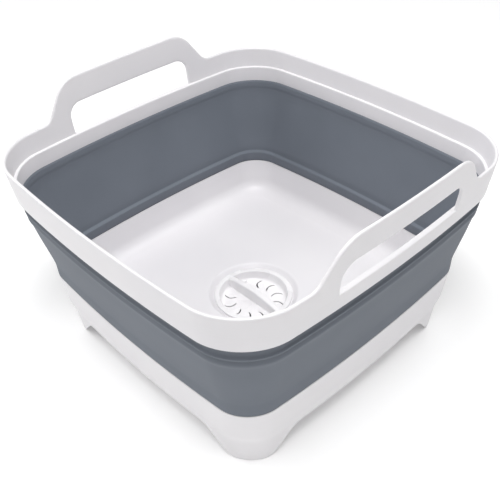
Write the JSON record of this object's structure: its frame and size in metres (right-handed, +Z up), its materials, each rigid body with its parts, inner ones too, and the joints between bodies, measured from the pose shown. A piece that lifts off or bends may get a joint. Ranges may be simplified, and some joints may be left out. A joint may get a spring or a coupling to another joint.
{
  "type": "collapsible wash tub",
  "caption": "Square wash tub with a folding soft wall, white rim with two handles, footed base and lift-out drain strainer.",
  "frame": {"origin": "under the middle of the tub, on the surface that its four feet stand on", "axes": "+Z up out of the tub's mouth; the two handles are on the +X and -X sides"},
  "size_m": [0.3166, 0.3076, 0.2085],
  "materials": {
    "rim_white": "moulded polypropylene, satin",
    "wall_grey": "moulded thermoplastic elastomer, matt",
    "base_white": "moulded polypropylene, satin",
    "strainer_white": "moulded polypropylene, satin",
    "seal_grey": "moulded silicone, matt"
  },
  "bodies": {
    "base": {"base_tray": "base_white", "wall_lower_band": "wall_grey"},
    "wall_panel": {"wall_main_panel": "wall_grey"},
    "rim": {"rim_frame": "rim_white", "wall_upper_band": "wall_grey"},
    "strainer": {"strainer_cup": "strainer_white", "stopper_seal": "seal_grey"}
  },
  "joints": [
    {"name": "fold_down", "type": "slide", "parent": "base", "child": "rim", "axis": [0, 0, -1], "range_m": [0, 0.11]},
    {"name": "panel_fold", "type": "slide", "parent": "base", "child": "wall_panel", "axis": [0, 0, -1], "range_m": [0, 0.055]},
    {"name": "strainer_lift", "type": "slide", "parent": "base", "child": "strainer", "axis": [0, 0, 1], "range_m": [0, 0.2]}
  ],
  "couplings": [
    {"joint": "panel_fold", "follows": "fold_down", "ratio": 0.5}
  ]
}
